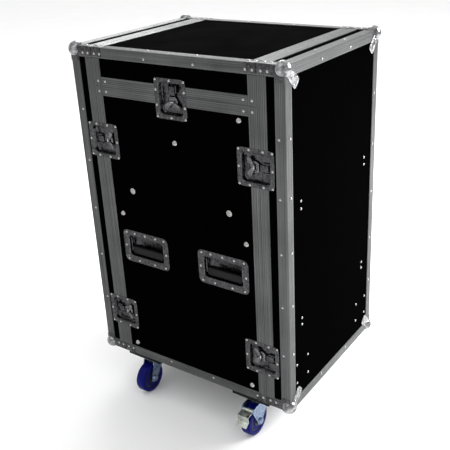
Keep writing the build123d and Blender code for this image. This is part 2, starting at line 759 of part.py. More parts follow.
with BuildPart() as caster_top_plates:
    for x, y in caster_spots:
        with BuildSketch(Plane(origin=(x, y, plate_bottom))) as outline:
            RectangleRounded(plate_size[0], plate_size[1], plate_corner)
        extrude(outline.sketch, amount=plate_size[2] - fit_gap / 2)
        swivel = Plane(origin=(x, y, 0))
        disc(swivel, (0, 0), race_radius, (race_bottom, plate_bottom))
        disc(swivel, (0, 0), kingpin_radius, (crown_bottom - kingpin_drop, race_bottom))
        head_span = tuple(crown_bottom - drop for drop in kingpin_head)
        disc(swivel, (0, 0), kingpin_head_radius, head_span)
        for spot in bolt_spots:
            disc(swivel, spot, plate_nut_radius, (plate_bottom - plate_nut_height, plate_bottom))
save(caster_top_plates, "caster_top_plates")


def upright(side, points):
    """Turn points given as distance out from the swivel axis and height into sketch points."""
    return [(side * (caster_x + out), height) for out, height in points]


def caster_fork(side, end, braked):
    """A swivel fork: crown, two cheek plates trailing outwards, and the wheel's axle bolt."""
    x = side * caster_x
    y = end * caster_offset
    cheek = [(-crown_back, crown_bottom), (-crown_back, crown_sheet_top)]
    cheek += pedal_bracket if braked else [(crown_front, crown_sheet_top)]
    cheek += cheek_foot
    with BuildPart() as fork:
        swivel = Plane(origin=(x, y, 0))
        disc(swivel, (0, 0), crown_radius, (crown_bottom, crown_top))
        outer = fork_inner + fork_sheet
        slab((x - side * crown_back, x + side * crown_front), (y - outer, y + outer),
             (crown_bottom, crown_sheet_top))
        for cheek_y in (y - outer, y + fork_inner):
            with BuildSketch(Plane.XZ.offset(-cheek_y)) as outline:
                with BuildLine():
                    Polyline(*upright(side, cheek), close=True)
                make_face()
                with Locations(*upright(side, [(swivel_trail, wheel_radius)])):
                    Circle(axle_boss_radius)
            extrude(outline.sketch, amount=-fork_sheet)
        disc(swivel, (0, 0), kingpin_radius + bearing_gap, (crown_bottom - overcut, crown_top + overcut),
             Mode.SUBTRACT)
        axle = Plane(origin=(x + side * swivel_trail, y, wheel_radius), z_dir=(0, 1, 0))
        disc(axle, (0, 0), axle_radius, (-outer, outer))
        for face in (-1, 1):
            disc(axle, (0, 0), axle_nut_radius, (face * outer, face * (outer + axle_nut_height)))
        if braked:
            pin_x = x + side * pedal_pin[0]
            pivot = Plane(origin=(pin_x, y, pedal_pin[1]), z_dir=(0, 1, 0))
            pin_half = outer + pedal_pin_overhang
            disc(pivot, (0, 0), pedal_pin_radius, (-pin_half, pin_half))
    return fork


def caster_wheel(side, end):
    """A solid wheel with a crowned tread, dished sides and a bored hub."""
    axle = (side * (caster_x + swivel_trail), end * caster_offset, wheel_radius)
    with BuildPart() as wheel:
        spin = Plane(origin=axle, x_dir=(1, 0, 0), z_dir=(0, 1, 0))
        with BuildSketch(Plane(origin=axle, x_dir=(0, 1, 0), z_dir=(-1, 0, 0))) as section:
            with BuildLine():
                half = wheel_width / 2
                web = half - web_inset
                shoulder = wheel_radius - tread_shoulder
                bore = axle_radius + bearing_gap
                rim = wheel_radius - rim_depth
                dished = [(hub_width / 2, bore), (hub_width / 2, hub_radius), (web, hub_radius + hub_slope),
                          (web, rim - web_slope), (half, rim), (half, shoulder)]
                Polyline(*[(-across, up) for across, up in dished])
                ThreePointArc((-half, shoulder), (0, wheel_radius), (half, shoulder))
                Polyline(*dished)
                Line((-hub_width / 2, bore), (hub_width / 2, bore))
            make_face()
        revolve(section.sketch, axis=Axis(spin.origin, (0, 1, 0)))
    return wheel


def brake_pedal(side, end):
    """The stepped foot pedal of a braked castor, hinged above its wheel."""
    x = side * caster_x
    y = end * caster_offset
    with BuildPart() as pedal:
        with BuildSketch(Plane.XZ.offset(-y + pedal_half_width)) as section:
            with BuildLine():
                Polyline(*upright(side, [pedal_pin] + pedal_steps))
            trace(line_width=pedal_sheet)
            with Locations(*upright(side, [pedal_pin])):
                Circle(pedal_knuckle_radius)
        extrude(section.sketch, amount=-2 * pedal_half_width)
        pivot = Plane(origin=(x + side * pedal_pin[0], y, pedal_pin[1]), z_dir=(0, 1, 0))
        disc(pivot, (0, 0), pedal_pin_radius + bearing_gap, (-fork_inner, fork_inner), Mode.SUBTRACT)
    return pedal


for (side_name, side), (end_name, end) in product(sides.items(), ends.items()):
    braked = end_name == "front"
    save(caster_fork(side, end, braked), f"caster_fork_{side_name}_{end_name}")
    save(caster_wheel(side, end), f"caster_wheel_{side_name}_{end_name}")
    if braked:
        save(brake_pedal(side, end), f"brake_pedal_{side_name}")
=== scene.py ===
import math
from itertools import product

import bpy
from mathutils import Matrix, Vector


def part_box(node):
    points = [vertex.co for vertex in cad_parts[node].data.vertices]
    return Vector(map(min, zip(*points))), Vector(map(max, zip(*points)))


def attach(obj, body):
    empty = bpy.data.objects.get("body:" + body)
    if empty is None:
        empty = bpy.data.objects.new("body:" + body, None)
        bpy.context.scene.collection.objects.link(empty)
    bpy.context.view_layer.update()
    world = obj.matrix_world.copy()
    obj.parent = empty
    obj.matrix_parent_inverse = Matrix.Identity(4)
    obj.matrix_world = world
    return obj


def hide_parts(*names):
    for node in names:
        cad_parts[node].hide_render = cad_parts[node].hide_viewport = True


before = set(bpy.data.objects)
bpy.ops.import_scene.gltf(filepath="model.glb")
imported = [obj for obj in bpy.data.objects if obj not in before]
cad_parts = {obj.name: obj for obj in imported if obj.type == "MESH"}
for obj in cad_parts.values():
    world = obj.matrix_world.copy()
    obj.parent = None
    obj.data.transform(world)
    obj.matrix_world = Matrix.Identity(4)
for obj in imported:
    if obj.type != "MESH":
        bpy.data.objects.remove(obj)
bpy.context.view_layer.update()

# Boards: birch plywood faced on the outside with a hard black phenolic laminate, cut to size and
# slid into the edge extrusions. The laminate is pressed against a fine-grained plate, so the eye
# gets a deep black with a dull and slightly uneven sheen.


def linear(colour):
    """Turn an sRGB hex colour into the linear colour that a shader wants."""
    parts = [int(colour[at:at + 2], 16) / 255 for at in (1, 3, 5)]
    return [part / 12.92 if part <= 0.04045 else ((part + 0.055) / 1.055) ** 2.4 for part in parts] + [1]


def add_node(material, kind, settings=None, **links):
    """Add a node with its settings, and set or link its sockets, by name or as in0, in1 and so on."""
    made = material.node_tree.nodes.new(kind)
    for name, value in (settings or {}).items():
        setattr(made, name, value)
    for name, value in links.items():
        socket = made.inputs[int(name[2:]) if name[2:].isdigit() else name.replace("_", " ")]
        if isinstance(value, bpy.types.NodeSocket):
            material.node_tree.links.new(value, socket)
        else:
            socket.default_value = value
    return made


def finish_named(name, fixed, pattern):
    """A node material: fixed gives the shader's own values, and pattern links the ones that vary."""
    material = bpy.data.materials.new(name)
    material.use_nodes = True
    shader = material.node_tree.nodes["Principled BSDF"]
    for socket, value in fixed.items():
        shader.inputs[socket].default_value = value
    place = add_node(material, "ShaderNodeTexCoord").outputs["Object"]
    for socket, output in pattern(material, place).items():
        material.node_tree.links.new(output, shader.inputs[socket])
    return material


laminate_grain = 0.0011
laminate_cloud = 0.14


def laminate_pattern(material, place):
    """Phenolic laminate: deep black, its gloss broken by a fine pressed grain and by faint clouds."""
    clouds = add_node(material, "ShaderNodeTexNoise", Vector=place, Scale=1 / laminate_cloud, Detail=5.0)
    tone = add_node(material, "ShaderNodeMixRGB", in0=clouds.outputs["Fac"], in1=linear("#010101"),
                    in2=linear("#020202"))
    sheen = add_node(material, "ShaderNodeMapRange", Value=clouds.outputs["Fac"], From_Min=0.3, From_Max=0.7,
                     To_Min=0.27, To_Max=0.42)
    grain = add_node(material, "ShaderNodeTexVoronoi", Vector=place, Scale=1 / laminate_grain)
    bump = add_node(material, "ShaderNodeBump", Height=grain.outputs["Distance"], Strength=0.1,
                    Distance=0.0003)
    return {"Base Color": tone.outputs["Color"], "Roughness": sheen.outputs["Result"],
            "Normal": bump.outputs["Normal"]}


laminate = finish_named("black_phenolic_laminate", {"IOR": 1.46, "Specular IOR Level": 0.0002},
                        laminate_pattern)


def paint(node_name, material):
    """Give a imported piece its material."""
    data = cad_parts[node_name].data
    data.materials.clear()
    data.materials.append(material)


for board in ("left_side_panel", "right_side_panel", "base_panel", "front_lid_boards", "rear_lid_boards",
              "top_lid_boards"):
    paint(board, laminate)

# Edge extrusions: drawn aluminium angles and tongued rims, riveted over the boards' edges. The die
# leaves shallow ribs along them, here thin raised bars laid on each run, and faint drawing lines
# that catch the light as streaks.
side_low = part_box("left_side_panel")[0]
body_low, body_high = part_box("body_extrusions")
rear_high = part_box("rear_lid_extrusions")[1]
cap_low, cap_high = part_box("top_lid_extrusions")
half_width = body_high.x
half_depth = rear_high.y
floor_z = body_low.z
roof_z = cap_high.z
board_face = -side_low.x
seam_gap = 0.0003
seam_y = body_high.y + seam_gap
top_seam_z = cap_low.z - seam_gap
edge_leg = 0.030
rim_width = 0.0265
rib_pitch = 0.0053
rib_width = 0.0041
rib_height = 0.00055
rib_sink = 0.0001
rib_soft = 0.0004
rib_count = 5
streak_length = 0.35
streak_width = 0.0013
smear_size = 0.11
drawn_depth = 0.0002
run_fit = 0.0003
latch_half = 0.0532
sides = {"left": -1, "right": 1}
ends = {"front": -1, "rear": 1}


def deselect():
    """Leave edit mode with nothing selected."""
    if bpy.context.object and bpy.context.object.mode == "EDIT":
        bpy.ops.object.mode_set(mode="OBJECT")
    bpy.ops.object.select_all(action="DESELECT")


def hold(*made):
    """Select these pieces alone, the first of them active."""
    deselect()
    for piece in made:
        piece.select_set(True)
    bpy.context.view_layer.objects.active = made[0]
    return made[0]


def block(low, high):
    """A cuboid between two opposite corners."""
    low, high = Vector(low), Vector(high)
    deselect()
    bpy.ops.mesh.primitive_cube_add(size=1, location=(low + high) / 2)
    made = bpy.context.object
    made.scale = [abs(part) for part in high - low]
    bpy.ops.object.transform_apply(location=True, rotation=True, scale=True)
    return made


def pick(made, kind, test):
    """Enter edit mode with only the faces or edges selected whose centre and normal or ends pass."""
    hold(made)
    bpy.ops.object.mode_set(mode="EDIT")
    bpy.ops.mesh.select_mode(type=kind)
    bpy.ops.mesh.select_all(action="DESELECT")
    bpy.ops.object.mode_set(mode="OBJECT")
    data = made.data
    if kind == "FACE":
        for face in data.polygons:
            face.select = test(face.center, face.normal)
    if kind == "EDGE":
        for edge in data.edges:
            edge.select = test(*(data.vertices[at].co for at in edge.vertices))
    bpy.ops.object.mode_set(mode="EDIT")


def modify(made, kind, **settings):
    """Add a modifier with its settings and apply it."""
    hold(made)
    modifier = made.modifiers.new(kind, kind)
    for name, value in settings.items():
        setattr(modifier, name, value)
    bpy.ops.object.modifier_apply(modifier=modifier.name)
    return made


def copy_at(made, place):
    """A copy with its own mesh, moved by a matrix."""
    copied = made.copy()
    copied.data = made.data.copy()
    copied.data.transform(place)
    bpy.context.collection.objects.link(copied)
    return copied


def discard(*made):
    """Delete patterns that have been copied."""
    for piece in made:
        bpy.data.objects.remove(piece)


def join(pieces):
    """Join several pieces to the first."""
    hold(*pieces)
    if len(pieces) > 1:
        bpy.ops.object.join()
    return bpy.context.object


def present(made, name, material, body, nodes=(), angle=40):
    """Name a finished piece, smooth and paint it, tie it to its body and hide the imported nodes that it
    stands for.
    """
    hold(made)
    made.name = name
    made.data.name = name
    bpy.ops.object.shade_smooth_by_angle(angle=math.radians(angle))
    made.data.materials.clear()
    made.data.materials.append(material)
    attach(made, body)
    if nodes:
        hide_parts(*nodes)
    return made


def drawn_aluminium(name, axis):
    """Drawn aluminium: a soft grey metal that the die has streaked along one axis, dulled by handling."""
    def pattern(material, place):
        grain = [1 / streak_width] * 3
        grain[axis] = 1 / streak_length
        drawn = add_node(material, "ShaderNodeMapping", Vector=place, Scale=grain)
        streaks = add_node(material, "ShaderNodeTexNoise", Vector=drawn.outputs["Vector"], Scale=1.0,
                           Detail=3.0)
        smears = add_node(material, "ShaderNodeTexNoise", Vector=place, Scale=1 / smear_size, Detail=4.0)
        blend = add_node(material, "ShaderNodeMath", {"operation": "MULTIPLY_ADD"},
                         in0=smears.outputs["Fac"], in1=0.35, in2=streaks.outputs["Fac"])
        tone = add_node(material, "ShaderNodeMapRange", Value=blend.outputs[0], From_Min=0.45, From_Max=0.9)
        colour = add_node(material, "ShaderNodeMixRGB", in0=tone.outputs["Result"], in1=linear("#3D3E3E"),
                          in2=linear("#646565"))
        rough = add_node(material, "ShaderNodeMapRange", Value=blend.outputs[0], From_Min=0.45, From_Max=0.9,
                         To_Min=0.4, To_Max=0.24)
        bump = add_node(material, "ShaderNodeBump", Height=streaks.outputs["Fac"], Strength=0.25,
                        Distance=drawn_depth)
        return {"Base Color": colour.outputs["Color"], "Roughness": rough.outputs["Result"],
                "Normal": bump.outputs["Normal"]}
    return finish_named(name, {"Metallic": 1.0}, pattern)


aluminium = [drawn_aluminium(f"drawn_aluminium_{letter}", axis) for axis, letter in enumerate("xyz")]
for piece in ("body_extrusions", "front_lid_extrusions", "rear_lid_extrusions", "top_lid_extrusions"):
    paint(piece, aluminium[2])

rib_span = rib_width / 2
rib = block((0, -rib_span, -rib_sink), (1, rib_span, rib_height))
pick(rib, "EDGE", lambda a, b: a.z > 0 and b.z > 0 and abs(a.x - b.x) > 0.5)
bpy.ops.mesh.bevel(offset=rib_soft, segments=2)
deselect()
modify(rib, "ARRAY", count=rib_count, use_relative_offset=False, use_constant_offset=True,
       constant_offset_displace=(0, rib_pitch, 0))
rib.data.transform(Matrix.Translation((0, -rib_pitch * (rib_count - 1) / 2, 0)))
rib_runs = {}


def lay_ribs(body, start, end, outward):
    """Lay a strip of ribs between two points on the middle line of a run."""
    start, end, outward = Vector(start), Vector(end), Vector(outward)
    along = end - start
    across = outward.cross(along.normalized())
    axis = max(range(3), key=lambda at: abs(along[at]))
    turned = Matrix((along, across, outward)).transposed().to_4x4()
    strip = copy_at(rib, Matrix.Translation(start) @ turned)
    rib_runs.setdefault((body, axis), []).append(strip)


def gaps(low, high, centres):
    """The parts of a span that the latches on it leave free."""
    cuts = sorted(centre for centre in centres if low < centre < high)
    marks = [low] + [mark for cut in cuts for mark in (cut - latch_half, cut + latch_half)] + [high]
    return list(zip(marks[::2], marks[1::2]))


def middle(name, axis):
    """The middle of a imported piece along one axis."""
    low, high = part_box(name)
    return (low[axis] + high[axis]) / 2


lid_levels = [middle(f"latch_rotor_left_front_{level}", 2) for level in ("upper", "lower")]
edge_middle = edge_leg / 2
rim_middle = seam_gap + rim_width / 2
across_run = half_width - edge_leg - run_fit
lengthways_run = seam_y - seam_gap - rim_width - run_fit
for end_name, end in ends.items():
    lid = f"{end_name}_lid"
    face_y = end * half_depth
    for side in sides.values():
        face_x = side * half_width
        edge_y = end * (half_depth - edge_middle)
        lay_ribs(lid, (face_x, edge_y, floor_z), (face_x, edge_y, roof_z), (side, 0, 0))
        edge_x = side * (half_width - edge_middle)
        lay_ribs(lid, (edge_x, face_y, floor_z), (edge_x, face_y, roof_z), (0, end, 0))
        rim_y = end * (seam_y + rim_middle)
        for low, high in gaps(floor_z + edge_leg, roof_z - edge_leg, lid_levels):
            lay_ribs(lid, (face_x, rim_y, low), (face_x, rim_y, high), (side, 0, 0))
        for outer_z, up in ((roof_z, 1), (floor_z, -1)):
            edge_z = outer_z - up * edge_middle
            y_start, y_end = end * (seam_y + seam_gap), end * (half_depth - edge_leg)
            lay_ribs(lid, (face_x, y_start, edge_z), (face_x, y_end, edge_z), (side, 0, 0))
            lay_ribs(lid, (edge_x, y_start, outer_z), (edge_x, y_end, outer_z), (0, 0, up))
    for outer_z, up in ((roof_z, 1), (floor_z, -1)):
        edge_z = outer_z - up * edge_middle
        lay_ribs(lid, (-across_run, face_y, edge_z), (across_run, face_y, edge_z), (0, end, 0))
        for y in (end * (half_depth - edge_middle), end * (seam_y + rim_middle)):
            lay_ribs(lid, (-across_run, y, outer_z), (across_run, y, outer_z), (0, 0, up))
        owner = "top_lid" if up > 0 else "carcass"
        y = end * (seam_y - rim_middle)
        lay_ribs(owner, (-across_run, y, outer_z), (across_run, y, outer_z), (0, 0, up))
for side, end in product(sides.values(), ends.values()):
    face_x = side * half_width
    rim_y = end * (seam_y - rim_middle)
    for low, high in gaps(floor_z + edge_leg, top_seam_z - seam_gap, lid_levels):
        lay_ribs("carcass", (face_x, rim_y, low), (face_x, rim_y, high), (side, 0, 0))
    low, high = top_seam_z + seam_gap, roof_z - edge_leg
    lay_ribs("top_lid", (face_x, rim_y, low), (face_x, rim_y, high), (side, 0, 0))
for side in sides.values():
    face_x = side * half_width
    edge_x = side * (half_width - edge_middle)
    for owner, outer_z, up in (("top_lid", roof_z, 1), ("carcass", floor_z, -1)):
        edge_z = outer_z - up * edge_middle
        reach = seam_y - seam_gap
        lay_ribs(owner, (face_x, -reach, edge_z), (face_x, reach, edge_z), (side, 0, 0))
        lay_ribs(owner, (edge_x, -reach, outer_z), (edge_x, reach, outer_z), (0, 0, up))
    for owner, level in (("top_lid", top_seam_z + rim_middle), ("carcass", top_seam_z - rim_middle)):
        for low, high in gaps(-lengthways_run, lengthways_run, [0]):
            lay_ribs(owner, (face_x, low, level), (face_x, high, level), (side, 0, 0))
discard(rib)
for (body, axis), strips in rib_runs.items():
    present(join(strips), f"{body}_ribs_{'xyz'[axis]}", aluminium[axis], body)

# Corner fittings: pressed steel. Each has a chrome-plated ball over the corner and an embossed chrome-plated
# leaf on the lid's face, with a zinc-plated brace that runs back over the edge to the seam and a zinc-plated
# leg down the edge angle.
sheet = 0.0015
ball_radius = 0.02195
ball_inset = 0.011
brace_leg = 0.026
brace_length = 0.034
brace_gap = 0.001
leg_width = 0.027
leg_length = 0.042
leaf_reach = 0.047
leaf_size = (0.031, 0.017)
leaf_corner = 0.009
leaf_neck = 0.8
leaf_border = 0.0028
emboss = 0.0009
emboss_slope = 0.0012
emboss_width = 0.0035
sheet_edge = 0.0004
cloud_share = 0.35
tone_from, tone_to = 0.42, 0.78


def plated(name, dark, light, smooth, rough, spots, dimple):
    """Plated steel: a cold metal glint, its tone and polish clouded by a spangle of this size."""
    def pattern(material, place):
        spangle = add_node(material, "ShaderNodeTexVoronoi", Vector=place, Scale=1 / spots)
        cloud = add_node(material, "ShaderNodeTexNoise", Vector=place, Scale=cloud_share / spots, Detail=5.0)
        blend = add_node(material, "ShaderNodeMath", {"operation": "MULTIPLY_ADD"},
                         in0=spangle.outputs["Distance"], in1=0.22, in2=cloud.outputs["Fac"])
        tone = add_node(material, "ShaderNodeMapRange", Value=blend.outputs[0], From_Min=tone_from,
                        From_Max=tone_to)
        colour = add_node(material, "ShaderNodeMixRGB", in0=tone.outputs["Result"], in1=linear(dark),
                          in2=linear(light))
        polish = add_node(material, "ShaderNodeMapRange", Value=blend.outputs[0], From_Min=tone_from,
                          From_Max=tone_to, To_Min=smooth, To_Max=rough)
        bump = add_node(material, "ShaderNodeBump", Height=cloud.outputs["Fac"], Strength=dimple,
                        Distance=spots / 3)
        return {"Base Color": colour.outputs["Color"], "Roughness": polish.outputs["Result"],
                "Normal": bump.outputs["Normal"]}
    return finish_named(name, {"Metallic": 1.0}, pattern)


zinc = plated("zinc_plated_steel", "#303031", "#505052", 0.14, 0.3, 0.0022, 0.6)
chrome = plated("chrome_plated_steel", "#4A4A4C", "#A0A0A2", 0.05, 0.16, 0.0045, 1.0)


def pressed_angle(y_low, y_high):
    """An angle of sheet over the edge whose corner is the origin, between two places along it."""
    made = block((-brace_leg, y_low, -brace_leg), (0, y_high, 0))
    pick(made, "FACE", lambda centre, normal: normal.x < 0.5 and normal.z < 0.5)
    bpy.ops.mesh.delete(type="FACE")
    pick(made, "EDGE", lambda a, b: min(a.x, b.x) > -sheet and min(a.z, b.z) > -sheet)
    bpy.ops.mesh.bevel(offset=sheet, segments=3)
    deselect()
    modify(made, "SOLIDIFY", thickness=sheet, offset=1)
    return modify(made, "BEVEL", width=sheet_edge, segments=2)


def leaf_shape():
    """The leaf, lying flat: narrow towards the ball and embossed inside its border."""
    deselect()
    bpy.ops.mesh.primitive_plane_add(size=2)
    made = bpy.context.object
    made.scale = (*leaf_size, 1)
    bpy.ops.object.transform_apply(scale=True)
    pick(made, "EDGE", lambda a, b: a.x < 0 and b.x < 0)
    bpy.ops.transform.resize(value=(1, leaf_neck, 1), center_override=(0, 0, 0))
    bpy.ops.mesh.select_all(action="SELECT")
    bpy.ops.mesh.bevel(affect="VERTICES", offset=leaf_corner, segments=5)
    bpy.ops.mesh.select_all(action="SELECT")
    bpy.ops.mesh.extrude_region_move(TRANSFORM_OT_translate={"value": (0, 0, sheet)})
    for width, step in ((leaf_border, 0), (emboss_slope, emboss), (emboss_width, 0), (emboss_slope, -emboss)):
        bpy.ops.mesh.inset(thickness=width, depth=step)
    deselect()
    return modify(made, "BEVEL", width=sheet_edge, segments=2)


deselect()
bpy.ops.mesh.primitive_uv_sphere_add(segments=40, ring_count=20, radius=ball_radius,
                                     location=[-ball_inset] * 3)
ball = bpy.context.object
bpy.ops.object.transform_apply(location=True)
case_block = block([-4 * ball_radius] * 3, [0] * 3)
modify(ball, "BOOLEAN", operation="DIFFERENCE", object=case_block, solver="EXACT")
discard(case_block)
corner_brace = pressed_angle(-(half_depth - seam_y) + brace_gap, -ball_inset)
corner_leg = block((0, -leg_width, -leg_length), (sheet, 0, 0))
modify(corner_leg, "BEVEL", width=sheet_edge, segments=2)
corner_leaf = leaf_shape()
away = Vector((-1, 0, -1)).normalized()
normal = Vector((0, 1, 0))
turned = Matrix((away, normal.cross(away), normal)).transposed().to_4x4()
corner_leaf.data.transform(Matrix.Translation(away * leaf_reach) @ turned)
corner_ball = join([ball, corner_leaf])
corner_angle = join([corner_brace, corner_leg])
seam_brace = pressed_angle(-brace_length / 2, brace_length / 2)


def mirrored(made, x, y, z, side, end, up):
    """A copy of a fitting for a corner of the case, its faces turned outwards again."""
    place = Matrix.Translation((x, y, z)) @ Matrix.Diagonal((side, end, up, 1))
    copied = copy_at(made, place)
    if place.determinant() < 0:
        copied.data.flip_normals()
    return copied


brace_y = seam_y - brace_gap - brace_length / 2
levels = {1: roof_z, -1: floor_z}
for end_name, end in ends.items():
    for made, name, material in ((corner_ball, "balls", chrome), (corner_angle, "angles", zinc)):
        fittings = [mirrored(made, side * half_width, end * half_depth, levels[up], side, end, up)
                    for side, up in product(sides.values(), levels)]
        present(join(fittings), f"{end_name}_corner_{name}", material, f"{end_name}_lid",
                [f"{end_name}_lid_corners"])
for body, name, up in (("top_lid", "top_lid_braces", 1), ("carcass", "body_corner_braces", -1)):
    braces = [mirrored(seam_brace, side * half_width, end * brace_y, levels[up], side, end, up)
              for side, end in product(sides.values(), ends.values())]
    present(join(braces), f"{name}_pressed", zinc, body, [name])
discard(corner_ball, corner_angle, seam_brace)

# Latches: recessed butterfly latches. A zinc-plated dish is pressed from sheet and riveted down, and
# is cut in two at the seam. The body half holds a cam with a folding wing, the lid half a keeper.
latch_reach = (-0.067, 0.045)
latch_half_length = 0.053
latch_corner = 0.015
latch_rim = 0.012
latch_depth = 0.012
latch_rise = 0.0032
bead_rise = 0.0011
bead_width = 0.0013
mouth_round = 0.0015
draft = 0.0010
cove = 0.0023
edge_roll = 0.0007
dish_sheet = 0.0011
dish_gap = 0.0005
pivot = -0.020
pan_middle = sum(latch_reach) / 2
pan_half = (latch_reach[1] - latch_reach[0]) / 2


def pressed_pan(half_x, half_y, corner, rim, rise, depth):
    """A riveted pan: a rolled-down edge, a flat rim, a bead round its mouth and a sunk floor."""
    mouth_x = half_x - rim
    mouth_y = half_y - rim
    steps = [(half_x, half_y, rise - edge_roll), (half_x - edge_roll, half_y - edge_roll, rise)]
    bead = [(2.4 * bead_width, rise)]
    bead += [(share * bead_width, rise + bead_rise) for share in (1.6, 0.8)]
    wall = mouth_round + draft
    well = [(0, rise - edge_roll), (-mouth_round, rise - edge_roll - mouth_round), (-wall, -depth + cove)]
    for outwards, level in bead + well + [(-wall - cove, -depth)]:
        steps.append((mouth_x + outwards, mouth_y + outwards, level))
    deselect()
    bpy.ops.mesh.primitive_plane_add(size=2)
    made = bpy.context.object
    made.scale = (half_x, half_y, 1)
    bpy.ops.object.transform_apply(scale=True)
    bpy.ops.object.mode_set(mode="EDIT")
    bpy.ops.mesh.select_all(action="SELECT")
    bpy.ops.mesh.bevel(affect="VERTICES", offset=corner, segments=6)
    bpy.ops.mesh.select_all(action="SELECT")
    x, y, level = half_x, half_y, 0
    for next_x, next_y, next_level in steps:
        bpy.ops.mesh.extrude_region_move(TRANSFORM_OT_translate={"value": (0, 0, next_level - level)})
        bpy.ops.transform.resize(value=(next_x / x, next_y / y, 1), center_override=(0, 0, next_level))
        x, y, level = next_x, next_y, next_level
    pick(made, "FACE", lambda centre, normal: normal.z < -0.9)
    bpy.ops.mesh.delete(type="FACE")
    deselect()
    return made


def half_pan(pan, towards_lid):
    """Cut the pan at the seam and give it its thickness."""
    made = copy_at(pan, Matrix.Translation((pan_middle, 0, 0)))
    hold(made)
    bpy.ops.object.mode_set(mode="EDIT")
    bpy.ops.mesh.select_all(action="SELECT")
    cut = dish_gap if towards_lid else -dish_gap
    bpy.ops.mesh.bisect(plane_co=(cut, 0, 0), plane_no=(1, 0, 0), clear_inner=towards_lid,
                        clear_outer=not towards_lid)
    deselect()
    return modify(made, "SOLIDIFY", thickness=dish_sheet, offset=-1)


def rounded_block(low, high, edge):
    """A cuboid with softened edges."""
    made = block(low, high)
    return modify(made, "BEVEL", width=edge, segments=2)


def turned_disc(radius, bottom, top, edge, x=0, y=0, sides_round=32):
    """A disc with softened edges, standing along z."""
    deselect()
    bpy.ops.mesh.primitive_cylinder_add(vertices=sides_round, radius=radius, depth=abs(top - bottom),
                                        location=(x, y, (bottom + top) / 2))
    made = bpy.context.object
    bpy.ops.object.transform_apply(location=True)
    return modify(made, "BEVEL", width=edge, segments=2, angle_limit=math.radians(50))


latch_pan = pressed_pan(pan_half, latch_half_length, latch_corner, latch_rim, latch_rise, latch_depth)

# The claw reaches over the seam from the body half, and the keeper's lip and two guides meet it
claw_heel, claw_toe, claw_tip = -0.0066, -0.001, 0.022
claw_half = 0.009
claw_low, claw_high = -0.008, -0.0056
post_radius = 0.004
post_top = -0.0078
lip_near, lip_far, lip_half, lip_top = 0.014, 0.017, 0.012, -0.0085
guide_near, guide_far, guide_inner, guide_outer, guide_top = 0.004, 0.026, 0.011, 0.0145, -0.0062
soft = 0.0008
claw = [rounded_block((claw_heel, -claw_half, -latch_depth), (claw_toe, claw_half, claw_high), soft),
        rounded_block((claw_heel, -claw_half, claw_low), (claw_tip, claw_half, claw_high), soft)]
post = turned_disc(post_radius, -latch_depth, post_top, sheet_edge, pivot)
body_dish = join([half_pan(latch_pan, False), *claw, post])
keeper_lip = rounded_block((lip_near, -lip_half, -latch_depth), (lip_far, lip_half, lip_top), soft)
guides = [rounded_block((guide_near, side * guide_inner, -latch_depth),
                        (guide_far, side * guide_outer, guide_top), soft) for side in (-1, 1)]
lid_dish = join([half_pan(latch_pan, True), keeper_lip, *guides])
discard(latch_pan)

# The cam turns on the dish's post and carries two ears for the wing's pin
cam_radius = 0.013
cam_bottom, cam_top = -0.0117, -0.0063
cam_border = 0.0022
cam_slope = 0.0006
ear_inner, ear_outer, ear_half = 0.0052, 0.008, 0.003
ear_sink = 0.001
cam = turned_disc(cam_radius, cam_bottom, cam_top, cam_slope, pivot, sides_round=40)
pick(cam, "FACE", lambda centre, normal: normal.z > 0.9)
bpy.ops.mesh.inset(thickness=cam_border, depth=0)
bpy.ops.mesh.inset(thickness=cam_slope, depth=-soft)
deselect()
ears = [rounded_block((pivot - ear_half, ear * ear_inner, cam_top - ear_sink),
                      (pivot + ear_half, ear * ear_outer, -soft), soft) for ear in (-1, 1)]
cam = join([cam, *ears])

# The wing is a bow-tie blade: narrow at its knuckle, two lobes at its outer edge
wing_axis = -0.0034
wing_sheet = 0.002
lobe_place = (0.013, 0.019)
lobe_radius = 0.007
root_place = (0.0015, 0.0025)
root_radius = 0.0042
wing_rim = 0.0016
wing_dishing = 0.0008
wing_edge = 0.0003
knuckle_radius, knuckle_half = 0.0027, 0.0049
pin_radius, pin_half = 0.0015, 0.0085


def teardrop(side, narrower, low, high):
    """One half of the blade: a skin stretched round a lobe and the root by the pin."""
    ends_round = []
    for (away, across), radius in ((lobe_place, lobe_radius), (root_place, root_radius)):
        deselect()
        bpy.ops.mesh.primitive_cylinder_add(vertices=28, radius=radius - narrower, depth=high - low,
                                            location=(pivot - away, side * across, (low + high) / 2))
        bpy.ops.object.transform_apply(location=True)
        ends_round.append(bpy.context.object)
    made = join(ends_round)
    hold(made)
    bpy.ops.object.mode_set(mode="EDIT")
    bpy.ops.mesh.select_all(action="SELECT")
    bpy.ops.mesh.convex_hull()
    bpy.ops.mesh.dissolve_limited(angle_limit=math.radians(2))
    deselect()
    return made


def wing_shape():
    """The blade: two teardrops made one, their faces dished inside a rim."""
    low = wing_axis - wing_sheet / 2
    made, other = (teardrop(side, 0, low, low + wing_sheet) for side in (-1, 1))
    modify(made, "BOOLEAN", operation="UNION", object=other, solver="EXACT")
    discard(other)
    for side in (-1, 1):
        pocket = teardrop(side, wing_rim, low + wing_sheet - wing_dishing, low + 2 * wing_sheet)
        modify(made, "BOOLEAN", operation="DIFFERENCE", object=pocket, solver="EXACT")
        discard(pocket)
    return modify(made, "BEVEL", width=wing_edge, segments=2)


wing = wing_shape()
knuckle = join([turned_disc(knuckle_radius, -knuckle_half, knuckle_half, sheet_edge, sides_round=24),
                turned_disc(pin_radius, -pin_half, pin_half, wing_edge, sides_round=12)])
knuckle.data.transform(Matrix.Translation((pivot, 0, wing_axis)) @ Matrix.Rotation(math.pi / 2, 4, "X"))


tarnish_size = 0.00625


